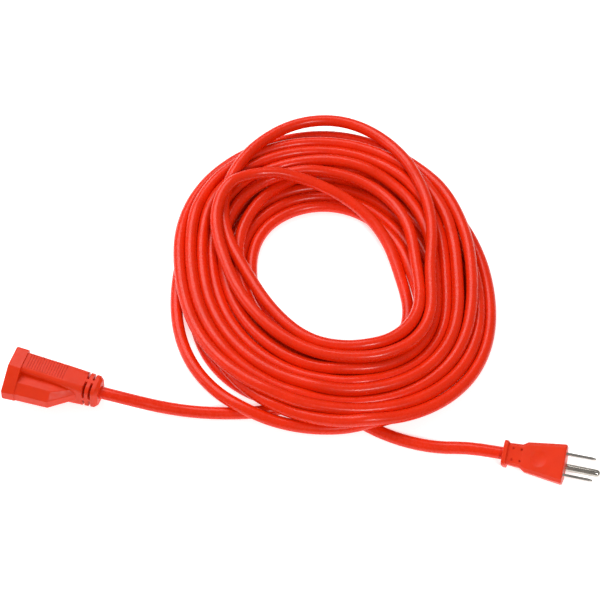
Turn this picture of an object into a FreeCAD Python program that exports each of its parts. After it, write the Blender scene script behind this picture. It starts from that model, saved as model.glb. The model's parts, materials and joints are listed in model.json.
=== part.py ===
"""A 25 ft grounded extension cord: moulded plug, moulded connector, and the cord in a loose coil.

Units are millimetres. The floor is z = 0, +Z is up, and +X runs from the connector to the plug.
The origin is on the floor, midway between the two ends. The plug and the connector are each
drawn in a frame of their own: +X out of the mating face, +Z towards the blades' side, and the
cord's axis at y = z = 0. Then each is rolled, tilted and turned to lie as it does beside the coil.
"""
import FreeCAD, Part
import math
import os

V = FreeCAD.Vector
SAME = 0.001                # closer than this is the same place
LAP = 0.5                   # how far fused blocks run into each other

# --- the cord: three 16 AWG wires in a round jacket ---
CORD_D = 7.8
WIRE_D = 2.8
CONDUCTOR_D = 1.5
WIRE_LAY = 1.7              # each wire's centre from the cord's axis
WIRE_SPLAY = 0.6            # how far the two upper wires sit above the side ones' level
WIRE_STRAIGHT = 0.16        # share of a wire's length left straight at each end
BARE_WIRE = 1.2             # copper left bare between the insulation and its crimp
BEND_SHARE = 0.45           # share of the shorter run that an arc takes up

# --- the standard 15 A, 125 V grounded pattern ---
BLADE_GAP = 12.7            # between the blades' centre planes
GROUND_DROP = 11.9          # from the blades' centre line to the ground pin
BLADE_THICK = 1.5
BLADE_WIDE = 6.35
BLADE_OUT = 17.4
PIN_D = 4.8
PIN_OUT = 20.8
PIN_SHANK_D = 4.0           # the pin behind its shoulder, inside the moulding
BLADE_TIP = 1.3             # bevel at the blade's corners
BLADE_NOSE = 0.4            # bevel on its two flat sides

# --- crimps, the same on all six terminals ---
CRIMP_WALL = 0.75
CRIMP_LENGTH = 3.6
CRIMP_STOP = 0.6            # closed front end of the barrel
TAIL_WIDE = 2.4
TAIL_LAP = 0.5              # tail inside the blade or the pin

# --- plug ---
PLUG_LENGTH = 37.0          # collar to face
PLUG_FACE_WIDE = 23.4
PLUG_BACK_WIDE = 17.8
PLUG_FACE_TOP = 9.2
PLUG_FACE_BOTTOM = 15.2
PLUG_FACE_SIDE = 12.0       # height of its straight sides
PLUG_FACE_FOOT = 12.4       # width of its ground side
PLUG_FACE_BEVEL = 2.1       # along the top's two edges
PLUG_RIM = 0.9              # bevel round the face
PLUG_CORNER = 0.5
PLUG_BLADE_Z = 3.8          # the blades' centre line above the cord's axis
PLUG_BODY = 23.0            # face to shoulder
NECK_END = 25.8             # face to the neck's wide end
PLUG_BACK = (7.0, 8.6, 9.0, 9.4, 1.9)       # body's wide end: top, bottom, foot, side, bevel
NECK_WIDE = 14.0
NECK_FRONT = (6.6, 6.9, 7.6, 8.0, 1.6)      # the neck's two ends, in the same order
NECK_REAR = (6.3, 6.3, 7.0, 7.6, 1.6)
NECK_TAPER = 1.2
COLLAR = 15.6
COLLAR_THICK = 2.7
COLLAR_CORNER = 3.4
COLLAR_EDGE = 0.7
DISH_RADIUS = 22.0          # the shallow thumb dish in the body's top
DISH_DEEP = 0.55
DISH_AT = 17.5              # face to its middle
PEG_HOLE_D = 1.4            # marks of the pegs that held the core in the mould
PEG_HOLE_DEEP = 1.2
PEG_HOLE_IN = 0.4           # first pair behind the neck's wide end
PEG_HOLE_GAP = (4.9, 7.0)   # along and across the neck
BLADE_INSIDE = 8.6          # blade behind the face
CRIMP_GAP = 1.4             # blade's back to its crimp
BRIDGE_FROM = 2.6           # the hard bridge behind the face
BRIDGE_THICK = 4.0
BRIDGE_WALL = 2.4           # plastic round each blade and round the pin
PLUG_JACKET_END = 29.0      # face to where the jacket is stripped

# --- connector ---
SOCKET_LENGTH = 57.0        # face to the cord's exit
SOCKET_WIDE = 27.4
SOCKET_TOP = 8.8
SOCKET_SIDE = 15.3          # height of the flat side
SOCKET_DEEP = 20.6          # cord's axis to the ground side's end
SOCKET_FOOT = 7.0           # width of the ground side's end
FLANGE = 8.0
FLANGE_STEP = 1.0           # flange proud of the body
FLANGE_RIM = 0.7
FLANGE_DRAFT = 0.5
FLANGE_CORNER = 1.4
SLOT_Z = 0.6                # the slots' centre line above the cord's axis
NECK_SIZE = (18.4, 16.6)
NECK_STOP = 47.6            # face to the relief's first groove
NECK_CORNER = 4.2
BARREL_CORNERS = (2.6, 3.2)                 # at the flange, and where the barrel has narrowed
BARREL_END = (36.0, 2.2)                    # face to its narrow end, and that end beyond the neck
LOBE_WIDE = 15.4
LOBE_FLAT = 29.0            # face to where the ground lobe starts to rise
LOBE_STOP = 43.5            # face to where it meets the neck
LOBE_KNEES = (6.2, 5.6, 2.4)                # height of its slopes at its three sections
LOBE_CORNERS = (1.2, 1.2, 1.0)
LOBE_TAPER = (1.6, 5.0)                     # narrower at its second and its last section
LOBE_ROOT = 2.0             # its root above the cord's axis, hidden in the barrel
RIB_COUNT = 15
RIB_PITCH = 1.65
RIB_CUT = (0.7, 0.45)       # groove width and depth
RIB_HIGH = 10.8
RIB_FROM = 2.6              # flange to the first groove
RIB_TOP = 1.6               # below the barrel's top
GROOVE = 1.5                # each groove of the strain relief
RING = 2.2
CORE_WALL = 1.6             # left round the cord inside the grooves
RELIEF_WEB = 2.2
RELIEF_BEVEL = (2.0, 1.4)                   # along and across the last ring
RELIEF_TAPER = 0.6
SOCKET_JACKET_END = 42.0

# --- the connector's hard insert and contacts ---
INSERT_INSET = 2.8
INSERT_CORNER = 1.0
PLATE = 4.0                 # face plate in front of the contacts
CONTACT_CRIMP = 1.5         # insert's back to a contact's crimp
POCKET_BACK = 17.0
BACK_WALL = 1.5
SLOT_CLEAR = (0.5, 0.85)    # slot wider and taller than the blade
NEUTRAL_TALLER = 1.2
HOLE_CLEAR = 0.5            # ground hole wider than the pin
POCKET_WALL = 1.4
POCKET_CLEAR = 0.3          # each side of a contact in its pocket
POCKET_TALLER = 0.8         # than the taller slot
LEAF = 0.6
LEAF_CLEAR = 0.3            # between the leaves, beyond the blade
LEAF_FLARE = 0.5            # each leaf, at the mouth
LEAF_TALLER = 0.65          # than the blade
LEAF_MOUTH = 2.6            # length of the flare
CONTACT_FROM = 5.0
CONTACT_BACK = 15.0
SPRING_CLEAR = 0.6          # the ground contact's bore beyond the pin
SPRING_SLIT = 1.0
SPRING_ROOT = 2.0           # whole tube behind the slit

# --- worked out from the sizes above ---
CRIMP_D = CONDUCTOR_D + 2 * CRIMP_WALL
CORE_D = CORD_D + 2 * CORE_WALL
LINE_SLOT = (BLADE_THICK + SLOT_CLEAR[0], BLADE_WIDE + SLOT_CLEAR[1])
NEUTRAL_SLOT = (LINE_SLOT[0], LINE_SLOT[1] + NEUTRAL_TALLER)
GROUND_HOLE_D = PIN_D + HOLE_CLEAR
LEAF_GAP = BLADE_THICK + LEAF_CLEAR
POCKET = (LEAF_GAP + 2 * (LEAF_FLARE + LEAF + POCKET_CLEAR), NEUTRAL_SLOT[1] + POCKET_TALLER)
SPRING_BORE_D = PIN_D + SPRING_CLEAR

# --- where things lie ---
PLUG_AT = (160.0, -31.5)
PLUG_TURN = -17.0
PLUG_TILT = 9.0
PLUG_ROLL = 20.0
SOCKET_AT = (-176.7, 34.5)
SOCKET_TURN = 165.4
SOCKET_TILT = 3.3
SOCKET_ROLL = 99.0
SOCKET_STRAIGHT = 73.0      # along the connector's axis to the lead's first bend
PLUG_STRAIGHT = 55.0
COIL_AT = (21.0, 108.0)
COIL_HIGH = 25.0
COIL_ROUND = (10.0, 8.0)    # outer and inner shoulder
COIL_OUTER = (105.0, 110.0, 130.0, 117.0, 103.0, 111.0, 111.5, 113.0)
COIL_INNER = (46.0, 49.0, 56.0, 57.0, 47.5, 44.5, 54.0, 58.0)

# The leads' hand-laid points, from the moulding's straight run to inside the coil.
SOCKET_ROUTE = [(-79.0, 12.4), (-52.0, 9.2), (-20.0, 10.0)]
PLUG_ROUTE = [(86.0, -14.2), (64.0, -9.2), (44.0, 0.0), (28.0, 12.0)]


def box(x, y, z):
    """A box between three pairs of limits."""
    solid = Part.makeBox(x[1] - x[0], y[1] - y[0], z[1] - z[0])
    solid.translate(V(x[0], y[0], z[0]))
    return solid


def rod(radius, x, y=0.0, z=0.0):
    """A cylinder along X between the two limits of x."""
    return Part.makeCylinder(radius, x[1] - x[0], V(x[0], y, z), V(1, 0, 0))


def outline(x, corners, radius):
    """A closed wire in the plane at x, through (y, z) corners rounded by one radius."""
    points = [V(x, y, z) for y, z in corners]
    edges = []
    last = None
    first = None
    for i, corner in enumerate(points):
        back = (points[i - 1] - corner).normalize()
        on = (points[(i + 1) % len(points)] - corner).normalize()
        half = back.getAngle(on) / 2
        start = corner + back * (radius / math.tan(half))
        end = corner + on * (radius / math.tan(half))
        middle = corner + (back + on).normalize() * (radius / math.sin(half) - radius)
        if last is not None:
            edges.append(Part.makeLine(last, start))
        edges.append(Part.Arc(start, middle, end).toShape())
        first = first or start
        last = end
    edges.append(Part.makeLine(last, first))
    return Part.Wire(edges)


def loft(sections):
    """A solid with straight sides through a list of wires."""
    return Part.makeLoft(sections, True, True)


def block_section(x, wide, top, bottom, radius):
    """A rectangle with rounded corners in the plane at x."""
    half = wide / 2
    return outline(x, [(-half, top), (half, top), (half, -bottom), (-half, -bottom)], radius)


def bend_radii(points):
    """The largest even arc at each inner point of a route."""
    radii = []
    for i in range(1, len(points) - 1):
        before = points[i] - points[i - 1]
        after = points[i + 1] - points[i]
        half = before.getAngle(after) / 2
        radii.append(BEND_SHARE * min(before.Length, after.Length) / math.tan(half))
    return radii


def route_wire(points):
    """Straight runs joined by tangent arcs."""
    edges = []
    start = points[0]
    for i, radius in enumerate(bend_radii(points), 1):
        corner = points[i]
        back = (points[i - 1] - corner).normalize()
        on = (points[i + 1] - corner).normalize()
        half = back.getAngle(on) / 2
        setback = radius / math.tan(half)
        middle = corner + (back + on).normalize() * (radius / math.sin(half) - radius)
        edges.append(Part.LineSegment(start, corner + back * setback).toShape())
        start = corner + on * setback
        edges.append(Part.Arc(corner + back * setback, middle, start).toShape())
    edges.append(Part.LineSegment(start, points[-1]).toShape())
    return Part.Wire(edges)


def tube(points, diameter):
    """A round solid along a route."""
    wire = route_wire(points)
    circle = Part.Circle(points[0], points[1] - points[0], diameter / 2).toShape()
    return wire.makePipeShell([Part.Wire([circle])], True, False)


def crimp(x_front, y, z):
    """A crimp barrel whose closed front end is at x_front."""
    back = x_front - CRIMP_LENGTH
    barrel = rod(CRIMP_D / 2, (back, x_front), y, z)
    return barrel.cut(rod(CONDUCTOR_D / 2, (back, x_front - CRIMP_STOP), y, z))


def wire_pair(jacket_end, spread, crimp_front, y, z):
    """One wire from the stripped jacket to its crimp: insulation, and the copper through it."""
    start = spread.normalize() * WIRE_LAY
    crimp_back = crimp_front - CRIMP_LENGTH
    stop = crimp_back - BARE_WIRE
    straight = WIRE_STRAIGHT * (stop - jacket_end)
    path = [V(jacket_end, start.y, start.z), V(jacket_end + straight, start.y, start.z),
            V(stop - straight, y, z), V(stop, y, z)]
    copper = tube(path, CONDUCTOR_D)
    copper = copper.fuse(rod(CONDUCTOR_D / 2, (stop, crimp_front - CRIMP_STOP), y, z))
    insulation = tube(path, WIRE_D).cut(copper)
    return insulation, copper.removeSplitter()


def wire_set(prefix, jacket_end, crimp_front, blade_z, pieces):
    """The three wires of one end, added to its pieces."""
    half = BLADE_GAP / 2
    ends = {"line": (V(0, 1, WIRE_SPLAY), half, blade_z), "neutral": (V(0, -1, WIRE_SPLAY), -half, blade_z),
            "ground": (V(0, 0, -1), 0.0, blade_z - GROUND_DROP)}
    for name, (spread, y, z) in ends.items():
        insulation, copper = wire_pair(jacket_end, spread, crimp_front, y, z)
        pieces[f"{prefix}_{name}_wire"] = insulation
        pieces[f"{prefix}_{name}_strands"] = copper


# ---------------------------------------------------------------- plug

def plug_section(x, wide, top, bottom, foot, side, bevel):
    """The plug's cross-section: flat top with bevelled edges, straight sides, narrower ground side."""
    half = wide / 2
    corners = [(bevel - half, top), (half - bevel, top), (half, top - bevel), (half, top - side),
               (foot / 2, -bottom), (-foot / 2, -bottom), (-half, top - side), (-half, top - bevel)]
    return outline(x, corners, PLUG_CORNER)


def plug_blank():
    """The plug's outside: neck, shoulder and body, with the collar behind."""
    collar_front = COLLAR_THICK - PLUG_LENGTH
    face = (PLUG_FACE_TOP, PLUG_FACE_BOTTOM, PLUG_FACE_FOOT, PLUG_FACE_SIDE)
    half_rim = PLUG_RIM / 2
    rim_face = (face[0] - half_rim, face[1] - half_rim, face[2] - PLUG_RIM, face[3] - half_rim)
    sections = [
        plug_section(collar_front - COLLAR_EDGE, NECK_WIDE - NECK_TAPER, *NECK_REAR),
        plug_section(-NECK_END, NECK_WIDE, *NECK_FRONT),
        plug_section(-PLUG_BODY, PLUG_BACK_WIDE, *PLUG_BACK),
        plug_section(-PLUG_RIM, PLUG_FACE_WIDE, *face, PLUG_FACE_BEVEL),
        plug_section(0.0, PLUG_FACE_WIDE - PLUG_RIM, *rim_face, PLUG_FACE_BEVEL)]
    collar = loft([block_section(x, COLLAR, COLLAR / 2, COLLAR / 2, COLLAR_CORNER)
                   for x in (-PLUG_LENGTH, collar_front)])
    collar = collar.makeFillet(COLLAR_EDGE, end_edges(collar))
    return loft(sections).fuse(collar).removeSplitter()


def end_edges(solid):
    """The edges round a block's two end faces, which stand square to X."""
    low, high = solid.BoundBox.XMin, solid.BoundBox.XMax
    chosen = []
    for edge in solid.Edges:
        span = edge.BoundBox
        if span.XLength < SAME and min(abs(span.XMin - low), abs(span.XMin - high)) < SAME:
            chosen.append(edge)
    return chosen


def plug_overmould(inside):
    """The plug's moulding, with its peg holes, its dish and room for what it holds."""
    body = plug_blank()
    along, across = PEG_HOLE_GAP
    neck_top = NECK_FRONT[0]
    first = -NECK_END - PEG_HOLE_IN
    for x in (first, first - along):
        for y in (-across / 2, across / 2):
            top = V(x, y, neck_top + PEG_HOLE_DEEP)
            body = body.cut(Part.makeCylinder(PEG_HOLE_D / 2, 2 * PEG_HOLE_DEEP, top, V(0, 0, -1)))
    rise = (PLUG_FACE_TOP - PLUG_BACK[0]) * (PLUG_BODY - DISH_AT) / (PLUG_BODY - PLUG_RIM)
    dish_z = PLUG_BACK[0] + rise + DISH_RADIUS - DISH_DEEP
    body = body.cut(Part.makeSphere(DISH_RADIUS, V(-DISH_AT, 0, dish_z)))
    for piece in inside:
        body = body.cut(piece)
    return body


def plug_bridge(metal):
    """The hard bridge that holds the blades and the pin square while the plug is moulded."""
    x = (-BRIDGE_FROM - BRIDGE_THICK, -BRIDGE_FROM)
    reach = BLADE_GAP / 2 + BLADE_THICK / 2 + BRIDGE_WALL
    top = PLUG_BLADE_Z + BLADE_WIDE / 2 + BRIDGE_WALL / 2
    pin_z = PLUG_BLADE_Z - GROUND_DROP
    lower = PLUG_BLADE_Z - BLADE_WIDE / 2 - BRIDGE_WALL / 2
    bridge = box(x, (-reach, reach), (lower, top))
    bridge = bridge.fuse(rod(PIN_D / 2 + BRIDGE_WALL / 2, x, 0, pin_z))
    bridge = bridge.fuse(box(x, (-BRIDGE_WALL, BRIDGE_WALL), (pin_z, lower))).removeSplitter()
    for piece in metal:
        bridge = bridge.cut(piece)
    return bridge


def plug_blade(side):
    """A flat blade with a bevelled tip, a narrower tail and a crimp."""
    y = side * BLADE_GAP / 2
    z = PLUG_BLADE_Z
    half = BLADE_WIDE / 2
    tip = BLADE_TIP
    points = [V(-BLADE_INSIDE, y - BLADE_THICK / 2, z - half),
              V(BLADE_OUT - tip, y - BLADE_THICK / 2, z - half),
              V(BLADE_OUT, y - BLADE_THICK / 2, z - half + tip),
              V(BLADE_OUT, y - BLADE_THICK / 2, z + half - tip),
              V(BLADE_OUT - tip, y - BLADE_THICK / 2, z + half),
              V(-BLADE_INSIDE, y - BLADE_THICK / 2, z + half)]
    plate = Part.Face(Part.makePolygon(points + points[:1])).extrude(V(0, BLADE_THICK, 0))
    nose = [edge for edge in plate.Edges if edge.BoundBox.XMin > BLADE_OUT - tip - SAME
            and edge.BoundBox.YLength < SAME]
    plate = plate.makeChamfer(BLADE_NOSE, nose)
    crimp_front = -BLADE_INSIDE - CRIMP_GAP
    tail = box((crimp_front - CRIMP_STOP, -BLADE_INSIDE + TAIL_LAP),
               (y - BLADE_THICK / 2, y + BLADE_THICK / 2), (z - TAIL_WIDE / 2, z + TAIL_WIDE / 2))
    return plate.fuse([tail, crimp(crimp_front, y, z)]).removeSplitter()


def plug_ground_pin():
    """A round pin with a domed tip, a shoulder on the plug's face, a thinner shank and a crimp."""
    z = PLUG_BLADE_Z - GROUND_DROP
    radius = PIN_D / 2
    crimp_front = -BLADE_INSIDE - CRIMP_GAP
    pin = rod(radius, (0.0, PIN_OUT - radius), 0, z)
    dome = Part.makeSphere(radius, V(PIN_OUT - radius, 0, z))
    shank = rod(PIN_SHANK_D / 2, (-BLADE_INSIDE, 0.0), 0, z)
    tail = rod(TAIL_WIDE / 2, (crimp_front - CRIMP_STOP, -BLADE_INSIDE + TAIL_LAP), 0, z)
    return pin.fuse([dome, shank, tail, crimp(crimp_front, 0, z)]).removeSplitter()


def make_plug():
    """Every piece of the plug, in its own frame."""
    pieces = {"plug_line_blade": plug_blade(1), "plug_neutral_blade": plug_blade(-1),
              "plug_ground_pin": plug_ground_pin()}
    pieces["plug_bridge"] = plug_bridge(list(pieces.values()))
    wire_set("plug", -PLUG_JACKET_END, -BLADE_INSIDE - CRIMP_GAP, PLUG_BLADE_Z, pieces)
    jacket = rod(CORD_D / 2, (-PLUG_LENGTH - LAP, -PLUG_JACKET_END))
    pieces["plug_overmould"] = plug_overmould(list(pieces.values()) + [jacket])
    return pieces


# ---------------------------------------------------------------- connector

def house(x, wide, top, side, deep, foot, radius):
    """The connector's house-shaped outline: flat top, straight sides, slopes to the ground side."""
    half = wide / 2
    corners = [(-half, top), (half, top), (half, top - side), (foot / 2, -deep),
               (-foot / 2, -deep), (-half, top - side)]
    return outline(x, corners, radius)


def socket_flange():
    """The flange at the mating face, drafted towards the body and bevelled at the face."""
    rim = FLANGE_RIM
    draft = FLANGE_DRAFT
    corner = FLANGE_CORNER
    return loft([
        house(-FLANGE, SOCKET_WIDE - draft, SOCKET_TOP - draft / 2, SOCKET_SIDE, SOCKET_DEEP - draft,
              SOCKET_FOOT, corner),
        house(-rim, SOCKET_WIDE, SOCKET_TOP, SOCKET_SIDE, SOCKET_DEEP, SOCKET_FOOT, corner),
        house(0.0, SOCKET_WIDE - rim, SOCKET_TOP - rim / 2, SOCKET_SIDE - rim / 2,
              SOCKET_DEEP - rim / 2, SOCKET_FOOT, corner - rim / 4)])


def socket_barrel():
    """The blade side: a broad rounded block that narrows to the neck."""
    wide, high = NECK_SIZE
    body_wide = SOCKET_WIDE - 2 * FLANGE_STEP
    bottom = SOCKET_SIDE - SOCKET_TOP + LAP / 2
    end, wider = BARREL_END
    return loft([
        block_section(-FLANGE + LAP, body_wide, SOCKET_TOP - FLANGE_STEP, bottom, BARREL_CORNERS[0]),
        block_section(-end, wide + wider, high / 2 - LAP / 2, high / 2 - LAP, BARREL_CORNERS[1]),
        block_section(-NECK_STOP, wide, high / 2, high / 2, NECK_CORNER)])


def lobe_section(x, wide, deep, foot, knee, radius):
    """The ground lobe's cross-section, its root hidden in the barrel."""
    half = wide / 2
    root = half - LAP
    corners = [(-root, LOBE_ROOT), (root, LOBE_ROOT), (half, -knee), (foot / 2, -deep),
               (-foot / 2, -deep), (-half, -knee)]
    return outline(x, corners, radius)


def socket_lobe():
    """The ground side: a faceted ridge that ends in a ramp down to the neck."""
    deep = SOCKET_DEEP - FLANGE_STEP
    end = NECK_SIZE[1] / 2
    places = (-FLANGE + LAP, -LOBE_FLAT, -LOBE_STOP)
    wides = (LOBE_WIDE, LOBE_WIDE - LOBE_TAPER[0], LOBE_WIDE - LOBE_TAPER[1])
    deeps = (deep, deep - LAP, end)
    feet = (SOCKET_FOOT, SOCKET_FOOT - LAP, SOCKET_FOOT - LOBE_TAPER[0])
    sections = []
    for x, wide, low, foot, knee, corner in zip(places, wides, deeps, feet, LOBE_KNEES, LOBE_CORNERS):
        sections.append(lobe_section(x, wide, low, foot, low - knee, corner))
    return loft(sections)


def relief_grooves():
    """Two grooves round the neck, each bridged at the middle of its four sides."""
    reach = max(NECK_SIZE)
    grooves = []
    for start in (-NECK_STOP - GROOVE, -NECK_STOP - 2 * GROOVE - RING):
        x = (start, start + GROOVE)
        cut = box(x, (-reach, reach), (-reach, reach)).cut(rod(CORE_D / 2, x))
        for y, z in ((reach, RELIEF_WEB / 2), (RELIEF_WEB / 2, reach)):
            cut = cut.cut(box(x, (-y, y), (-z, z)))
        grooves.append(cut)
    return grooves


def socket_relief():
    """The strain relief's rings, before its grooves are cut: a block with a bevelled end."""
    wide, high = NECK_SIZE
    along, across = RELIEF_BEVEL
    last = -SOCKET_LENGTH
    sections = []
    for x, less in ((-NECK_STOP, 0.0), (last + along, RELIEF_TAPER), (last, RELIEF_TAPER + 2 * across)):
        half = (high - less) / 2
        sections.append(block_section(x, wide - less, half, half, NECK_CORNER))
    return loft(sections)


def grip_grooves():
    """Fine grooves across both flat sides of the barrel; what stands between them is the grip."""
    wide, deep = RIB_CUT
    front = -FLANGE - RIB_FROM
    grooves = []
    end, wider = BARREL_END
    taper = (SOCKET_WIDE / 2 - FLANGE_STEP - (NECK_SIZE[0] + wider) / 2) / (end - FLANGE + LAP)
    top = SOCKET_TOP - FLANGE_STEP - RIB_TOP
    for i in range(RIB_COUNT):
        x = front - i * RIB_PITCH
        face = SOCKET_WIDE / 2 - FLANGE_STEP - (LAP - FLANGE - x) * taper
        for side in (-1, 1):
            y = sorted((side * (face - deep), side * (face + deep)))
            grooves.append(box((x - wide, x), y, (top - RIB_HIGH, top)))
    return grooves


def socket_overmould(inside):
    """The connector's moulding, grooved, with room for what it holds."""
    body = socket_barrel().fuse([socket_lobe(), socket_flange(), socket_relief()])
    for groove in relief_grooves() + grip_grooves():
        body = body.cut(groove)
    for piece in inside:
        body = body.cut(piece)
    return body


def slot_block(x, size, side):
    """A block on one blade's centre plane."""
    y = side * BLADE_GAP / 2
    return box(x, (y - size[0] / 2, y + size[0] / 2), (SLOT_Z - size[1] / 2, SLOT_Z + size[1] / 2))


def insert_solids():
    """The hard insert's outside, and its pockets with their slots, as two solids."""
    ground_z = SLOT_Z - GROUND_DROP
    back = (-POCKET_BACK - BACK_WALL, -PLATE + LAP)
    inset = INSERT_INSET
    corners = (SOCKET_WIDE - 2 * inset, SOCKET_TOP - inset, SOCKET_SIDE - inset,
               SOCKET_DEEP - inset, SOCKET_FOOT - inset / 2)
    outside = loft([house(-PLATE, *corners, INSERT_CORNER), house(0.0, *corners, INSERT_CORNER)])
    reach = BLADE_GAP / 2 + POCKET[0] / 2 + POCKET_WALL
    floor = SLOT_Z - POCKET[1] / 2 - POCKET_WALL
    spring = SPRING_BORE_D / 2 + LEAF + POCKET_CLEAR
    outside = outside.fuse([
        box(back, (-reach, reach), (floor, SLOT_Z + POCKET[1] / 2 + POCKET_WALL)),
        rod(spring + POCKET_WALL, back, 0, ground_z),
        box(back, (-spring, spring), (ground_z, floor + LAP))]).removeSplitter()
    pocket = (-POCKET_BACK, -PLATE)
    through = (-PLATE - LAP, LAP)
    hollow = slot_block(pocket, POCKET, 1).fuse([
        slot_block(pocket, POCKET, -1), rod(spring, pocket, 0, ground_z),
        slot_block(through, LINE_SLOT, 1), slot_block(through, NEUTRAL_SLOT, -1),
        rod(GROUND_HOLE_D / 2, through, 0, ground_z)])
    return outside, hollow


def blade_contact(side):
    """Two spring leaves joined at the back, flared at the mouth, with a tail and a crimp."""
    y = side * BLADE_GAP / 2
    high = BLADE_WIDE + LEAF_TALLER
    low = SLOT_Z - high / 2
    mouth = -CONTACT_FROM
    throat = mouth - LEAF_MOUTH
    near = LEAF_GAP / 2
    far = near + LEAF_FLARE
    leaves = []
    for hand in (-1, 1):
        inner = [(mouth, far), (throat, near), (-CONTACT_BACK, near)]
        outer = [(x, gap + LEAF) for x, gap in reversed(inner)]
        points = [V(x, y + hand * gap, low) for x, gap in inner + outer]
        face = Part.Face(Part.makePolygon(points + points[:1]))
        leaves.append(face.extrude(V(0, 0, high)))
    web = box((-CONTACT_BACK - LEAF, -CONTACT_BACK), (y - near - LEAF, y + near + LEAF), (low, low + high))
    return leaves[0].fuse([leaves[1], web] + contact_tail(y, SLOT_Z)).removeSplitter()


def contact_tail(y, z):
    """A tail through the insert's back wall, and its crimp."""
    crimp_front = -POCKET_BACK - BACK_WALL - CONTACT_CRIMP
    tail = box((crimp_front - CRIMP_STOP, -CONTACT_BACK - LEAF / 2), (y - LEAF, y + LEAF),
               (z - TAIL_WIDE / 2, z + TAIL_WIDE / 2))
    return [tail, crimp(crimp_front, y, z)]


def ground_contact():
    """A slit tube that springs round the ground pin, with a tail and a crimp."""
    z = SLOT_Z - GROUND_DROP
    x = (-CONTACT_BACK - LEAF, -CONTACT_FROM)
    sleeve = rod(SPRING_BORE_D / 2 + LEAF, x, 0, z)
    sleeve = sleeve.cut(rod(SPRING_BORE_D / 2, (-CONTACT_BACK, x[1]), 0, z))
    sleeve = sleeve.cut(box((-CONTACT_BACK + SPRING_ROOT, x[1]), (-SPRING_BORE_D, SPRING_BORE_D),
                            (z - SPRING_SLIT / 2, z + SPRING_SLIT / 2)))
    return sleeve.fuse(contact_tail(0.0, z)).removeSplitter()


def make_socket():
    """Every piece of the connector, in its own frame."""
    pieces = {"socket_line_contact": blade_contact(1), "socket_neutral_contact": blade_contact(-1),
              "socket_ground_contact": ground_contact()}
    outside, hollow = insert_solids()
    insert = outside.cut(hollow)
    for contact in pieces.values():
        insert = insert.cut(contact)
    wire_set("socket", -SOCKET_JACKET_END, -POCKET_BACK - BACK_WALL - CONTACT_CRIMP, SLOT_Z, pieces)
    metal_and_wires = list(pieces.values())
    pieces["socket_insert"] = insert
    jacket = rod(CORD_D / 2, (-SOCKET_LENGTH - LAP, -SOCKET_JACKET_END))
    pieces["socket_overmould"] = socket_overmould([outside, jacket] + metal_and_wires)
    return pieces


# ---------------------------------------------------------------- placing

def placement(turn, tilt, roll):
    """Roll about X, then tilt the front up, then turn about Z."""
    rolled = FreeCAD.Rotation(V(1, 0, 0), roll)
    tilted = FreeCAD.Rotation(V(0, 1, 0), -tilt)
    turned = FreeCAD.Rotation(V(0, 0, 1), turn)
    return turned.multiply(tilted).multiply(rolled)


def lay_down(pieces, at, turn, tilt, roll):
    """Turn a set of pieces and stand its lowest point on the floor; returns how to place a point."""
    rotation = placement(turn, tilt, roll)
    spin = FreeCAD.Placement(V(0, 0, 0), rotation)
    for piece in pieces.values():
        piece.Placement = spin.multiply(piece.Placement)
    lowest = min(piece.optimalBoundingBox().ZMin for piece in pieces.values())
    shift = V(at[0], at[1], -lowest)
    for piece in pieces.values():
        piece.translate(shift)
    return lambda x: rotation.multVec(V(-x, 0, 0)) + shift


def coil_solid():
    """The coil's outer shape: one ring with rounded shoulders round an open middle."""
    rings = []
    for radii in (COIL_OUTER, COIL_INNER):
        points = []
        for i, radius in enumerate(radii):
            angle = 2 * math.pi * i / len(radii)
            points.append(V(COIL_AT[0] + radius * math.cos(angle), COIL_AT[1] + radius * math.sin(angle), 0))
        curve = Part.BSplineCurve()
        curve.interpolate(points, PeriodicFlag=True)
        rings.append(Part.Face(Part.Wire([curve.toShape()])).extrude(V(0, 0, COIL_HIGH)))
    ring = rings[0].cut(rings[1])
    for radius, keep_outer in zip(COIL_ROUND, (True, False)):
        top = [edge for edge in ring.Edges if edge.BoundBox.ZMin > COIL_HIGH - SAME
               and (edge.BoundBox.XLength > min(COIL_OUTER) + min(COIL_INNER)) == keep_outer]
        ring = ring.makeFillet(radius, top)
    return ring


def lead(inside, straight, route, coil, name):
    """One free run of cord, from inside its moulding to the coil's side."""
    floor = CORD_D / 2
    points = [inside, straight] + [V(x, y, floor) for x, y in route]
    print(name, "points", [tuple(round(c, 1) for c in p) for p in points])
    print(name, "bend radii", [round(r) for r in bend_radii(points)])
    run = tube(points, CORD_D)
    length = route_wire(points).Length
    print(name, "volume / (section x length)", round(run.Volume / (math.pi * floor ** 2 * length), 4))
    return max(run.cut(coil).Solids, key=lambda solid: solid.Volume)


def build():
    plug = make_plug()
    socket = make_socket()
    on_plug = lay_down(plug, PLUG_AT, PLUG_TURN, PLUG_TILT, PLUG_ROLL)
    on_socket = lay_down(socket, SOCKET_AT, SOCKET_TURN, SOCKET_TILT, SOCKET_ROLL)
    coil = coil_solid()
    cord = {
        "connector_lead": lead(on_socket(SOCKET_JACKET_END), on_socket(SOCKET_STRAIGHT), SOCKET_ROUTE,
                               coil, "connector_lead"),
        "plug_lead": lead(on_plug(PLUG_JACKET_END), on_plug(PLUG_STRAIGHT), PLUG_ROUTE, coil, "plug_lead"),
        "cord_coil": coil}
    for name, x in (("plug face", 0.0), ("plug cord exit", PLUG_LENGTH)):
        print(name, tuple(round(c, 2) for c in on_plug(x)))
    for name, x in (("connector face", 0.0), ("connector cord exit", SOCKET_LENGTH)):
        print(name, tuple(round(c, 2) for c in on_socket(x)))
    return {**plug, **socket, **cord}


def main():
    os.makedirs("parts", exist_ok=True)
    for name, shape in build().items():
        if not shape.isValid() or len(shape.Solids) != 1:
            print("CHECK", name, "valid", shape.isValid(), "solids", len(shape.Solids))
        shape.exportStep(f"parts/{name}.step")


main()
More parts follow.
